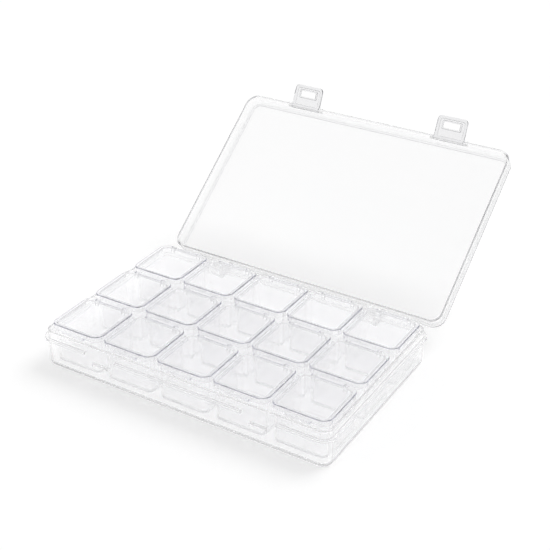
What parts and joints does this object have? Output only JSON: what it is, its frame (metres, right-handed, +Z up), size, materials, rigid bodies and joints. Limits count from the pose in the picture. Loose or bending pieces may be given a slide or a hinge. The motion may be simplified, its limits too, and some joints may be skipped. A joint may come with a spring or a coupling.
{
  "type": "bead organizer",
  "caption": "Clear plastic bead organizer: a shallow case with a hinged lid and snap latches, holding a grid of small square boxes, each with its own hinged lid.",
  "frame": {"origin": "centre of the flat underside of the case, on the surface it stands on", "axes": "+X to the right along the long side, +Y towards the hinges, +Z up"},
  "size_m": [0.175, 0.2166, 0.0948],
  "materials": {
    "case_plastic": "clear gloss moulded polystyrene, faint grey",
    "latch_plastic": "clear gloss moulded plastic",
    "box_plastic": "clear gloss moulded plastic, faint violet",
    "box_lid_plastic": "clear gloss moulded plastic, faint violet"
  },
  "bodies": {
    "case_base": {"case_base": "case_plastic"},
    "case_lid": {"case_lid": "case_plastic"},
    "latch_left": {"latch_left": "latch_plastic"},
    "latch_right": {"latch_right": "latch_plastic"},
    "box_front_1": {"box_front_1": "box_plastic"},
    "box_lid_front_1": {"box_lid_front_1": "box_lid_plastic"},
    "box_front_2": {"box_front_2": "box_plastic"},
    "box_lid_front_2": {"box_lid_front_2": "box_lid_plastic"},
    "box_front_3": {"box_front_3": "box_plastic"},
    "box_lid_front_3": {"box_lid_front_3": "box_lid_plastic"},
    "box_front_4": {"box_front_4": "box_plastic"},
    "box_lid_front_4": {"box_lid_front_4": "box_lid_plastic"},
    "box_front_5": {"box_front_5": "box_plastic"},
    "box_lid_front_5": {"box_lid_front_5": "box_lid_plastic"},
    "box_middle_1": {"box_middle_1": "box_plastic"},
    "box_lid_middle_1": {"box_lid_middle_1": "box_lid_plastic"},
    "box_middle_2": {"box_middle_2": "box_plastic"},
    "box_lid_middle_2": {"box_lid_middle_2": "box_lid_plastic"},
    "box_middle_3": {"box_middle_3": "box_plastic"},
    "box_lid_middle_3": {"box_lid_middle_3": "box_lid_plastic"},
    "box_middle_4": {"box_middle_4": "box_plastic"},
    "box_lid_middle_4": {"box_lid_middle_4": "box_lid_plastic"},
    "box_middle_5": {"box_middle_5": "box_plastic"},
    "box_lid_middle_5": {"box_lid_middle_5": "box_lid_plastic"},
    "box_back_1": {"box_back_1": "box_plastic"},
    "box_lid_back_1": {"box_lid_back_1": "box_lid_plastic"},
    "box_back_2": {"box_back_2": "box_plastic"},
    "box_lid_back_2": {"box_lid_back_2": "box_lid_plastic"},
    "box_back_3": {"box_back_3": "box_plastic"},
    "box_lid_back_3": {"box_lid_back_3": "box_lid_plastic"},
    "box_back_4": {"box_back_4": "box_plastic"},
    "box_lid_back_4": {"box_lid_back_4": "box_lid_plastic"},
    "box_back_5": {"box_back_5": "box_plastic"},
    "box_lid_back_5": {"box_lid_back_5": "box_lid_plastic"}
  },
  "joints": [
    {"name": "case_lid_hinge", "type": "hinge", "parent": "case_base", "child": "case_lid", "pos_m": [0, 0.06015, 0.0155], "axis": [-1, 0, 0], "range_deg": [-143, 0]},
    {"name": "latch_left_hinge", "type": "hinge", "parent": "case_lid", "child": "latch_left", "pos_m": [-0.048, 0.15436, 0.08273], "axis": [-1, 0, 0], "range_deg": [-62, 60]},
    {"name": "latch_right_hinge", "type": "hinge", "parent": "case_lid", "child": "latch_right", "pos_m": [0.048, 0.15436, 0.08273], "axis": [-1, 0, 0], "range_deg": [-62, 60]},
    {"name": "box_front_1_lift", "type": "slide", "parent": "case_base", "child": "box_front_1", "axis": [0, 0, 1], "range_m": [0, 0.03]},
    {"name": "box_lid_front_1_hinge", "type": "hinge", "parent": "box_front_1", "child": "box_lid_front_1", "pos_m": [-0.0676, -0.01925, 0.02315], "axis": [-1, 0, 0], "range_deg": [0, 105]},
    {"name": "box_front_2_lift", "type": "slide", "parent": "case_base", "child": "box_front_2", "axis": [0, 0, 1], "range_m": [0, 0.03]},
    {"name": "box_lid_front_2_hinge", "type": "hinge", "parent": "box_front_2", "child": "box_lid_front_2", "pos_m": [-0.0338, -0.01925, 0.02315], "axis": [-1, 0, 0], "range_deg": [0, 105]},
    {"name": "box_front_3_lift", "type": "slide", "parent": "case_base", "child": "box_front_3", "axis": [0, 0, 1], "range_m": [0, 0.03]},
    {"name": "box_lid_front_3_hinge", "type": "hinge", "parent": "box_front_3", "child": "box_lid_front_3", "pos_m": [0, -0.01925, 0.02315], "axis": [-1, 0, 0], "range_deg": [0, 105]},
    {"name": "box_front_4_lift", "type": "slide", "parent": "case_base", "child": "box_front_4", "axis": [0, 0, 1], "range_m": [0, 0.03]},
    {"name": "box_lid_front_4_hinge", "type": "hinge", "parent": "box_front_4", "child": "box_lid_front_4", "pos_m": [0.0338, -0.01925, 0.02315], "axis": [-1, 0, 0], "range_deg": [0, 105]},
    {"name": "box_front_5_lift", "type": "slide", "parent": "case_base", "child": "box_front_5", "axis": [0, 0, 1], "range_m": [0, 0.03]},
    {"name": "box_lid_front_5_hinge", "type": "hinge", "parent": "box_front_5", "child": "box_lid_front_5", "pos_m": [0.0676, -0.01925, 0.02315], "axis": [-1, 0, 0], "range_deg": [0, 105]},
    {"name": "box_middle_1_lift", "type": "slide", "parent": "case_base", "child": "box_middle_1", "axis": [0, 0, 1], "range_m": [0, 0.03]},
    {"name": "box_lid_middle_1_hinge", "type": "hinge", "parent": "box_middle_1", "child": "box_lid_middle_1", "pos_m": [-0.0676, 0.01595, 0.02315], "axis": [-1, 0, 0], "range_deg": [0, 105]},
    {"name": "box_middle_2_lift", "type": "slide", "parent": "case_base", "child": "box_middle_2", "axis": [0, 0, 1], "range_m": [0, 0.03]},
    {"name": "box_lid_middle_2_hinge", "type": "hinge", "parent": "box_middle_2", "child": "box_lid_middle_2", "pos_m": [-0.0338, 0.01595, 0.02315], "axis": [-1, 0, 0], "range_deg": [0, 105]},
    {"name": "box_middle_3_lift", "type": "slide", "parent": "case_base", "child": "box_middle_3", "axis": [0, 0, 1], "range_m": [0, 0.03]},
    {"name": "box_lid_middle_3_hinge", "type": "hinge", "parent": "box_middle_3", "child": "box_lid_middle_3", "pos_m": [0, 0.01595, 0.02315], "axis": [-1, 0, 0], "range_deg": [0, 105]},
    {"name": "box_middle_4_lift", "type": "slide", "parent": "case_base", "child": "box_middle_4", "axis": [0, 0, 1], "range_m": [0, 0.03]},
    {"name": "box_lid_middle_4_hinge", "type": "hinge", "parent": "box_middle_4", "child": "box_lid_middle_4", "pos_m": [0.0338, 0.01595, 0.02315], "axis": [-1, 0, 0], "range_deg": [0, 105]},
    {"name": "box_middle_5_lift", "type": "slide", "parent": "case_base", "child": "box_middle_5", "axis": [0, 0, 1], "range_m": [0, 0.03]},
    {"name": "box_lid_middle_5_hinge", "type": "hinge", "parent": "box_middle_5", "child": "box_lid_middle_5", "pos_m": [0.0676, 0.01595, 0.02315], "axis": [-1, 0, 0], "range_deg": [0, 105]},
    {"name": "box_back_1_lift", "type": "slide", "parent": "case_base", "child": "box_back_1", "axis": [0, 0, 1], "range_m": [0, 0.03]},
    {"name": "box_lid_back_1_hinge", "type": "hinge", "parent": "box_back_1", "child": "box_lid_back_1", "pos_m": [-0.0676, 0.05115, 0.02315], "axis": [-1, 0, 0], "range_deg": [0, 105]},
    {"name": "box_back_2_lift", "type": "slide", "parent": "case_base", "child": "box_back_2", "axis": [0, 0, 1], "range_m": [0, 0.03]},
    {"name": "box_lid_back_2_hinge", "type": "hinge", "parent": "box_back_2", "child": "box_lid_back_2", "pos_m": [-0.0338, 0.05115, 0.02315], "axis": [-1, 0, 0], "range_deg": [0, 105]},
    {"name": "box_back_3_lift", "type": "slide", "parent": "case_base", "child": "box_back_3", "axis": [0, 0, 1], "range_m": [0, 0.03]},
    {"name": "box_lid_back_3_hinge", "type": "hinge", "parent": "box_back_3", "child": "box_lid_back_3", "pos_m": [0, 0.05115, 0.02315], "axis": [-1, 0, 0], "range_deg": [0, 105]},
    {"name": "box_back_4_lift", "type": "slide", "parent": "case_base", "child": "box_back_4", "axis": [0, 0, 1], "range_m": [0, 0.03]},
    {"name": "box_lid_back_4_hinge", "type": "hinge", "parent": "box_back_4", "child": "box_lid_back_4", "pos_m": [0.0338, 0.05115, 0.02315], "axis": [-1, 0, 0], "range_deg": [0, 105]},
    {"name": "box_back_5_lift", "type": "slide", "parent": "case_base", "child": "box_back_5", "axis": [0, 0, 1], "range_m": [0, 0.03]},
    {"name": "box_lid_back_5_hinge", "type": "hinge", "parent": "box_back_5", "child": "box_lid_back_5", "pos_m": [0.0676, 0.05115, 0.02315], "axis": [-1, 0, 0], "range_deg": [0, 105]}
  ]
}
